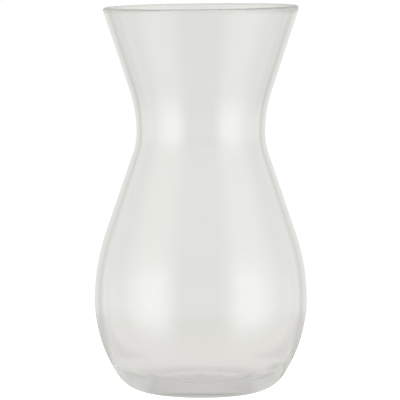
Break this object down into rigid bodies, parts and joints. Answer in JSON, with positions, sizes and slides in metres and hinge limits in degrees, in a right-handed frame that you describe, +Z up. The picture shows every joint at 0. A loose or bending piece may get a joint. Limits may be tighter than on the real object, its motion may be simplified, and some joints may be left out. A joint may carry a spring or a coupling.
{
  "type": "waisted vase",
  "caption": "Clear glass flower vase with a flared mouth, a narrow waist, a full rounded belly and a pushed-up foot, for standing a bunch of stems in water.",
  "frame": {"origin": "centre of the foot, on the plane of the standing ring", "axes": "+Z up along the vase's axis of revolution, from the foot to the mouth; the vase is the same from every side, so X and Y are free"},
  "size_m": [0.11, 0.11, 0.2],
  "materials": {
    "clear_glass": "clear soda-lime glass, fire-polished, with a faint grey-green cast where it is thick"
  },
  "bodies": {
    "root": {"glass_body": "clear_glass"}
  },
  "joints": []
}
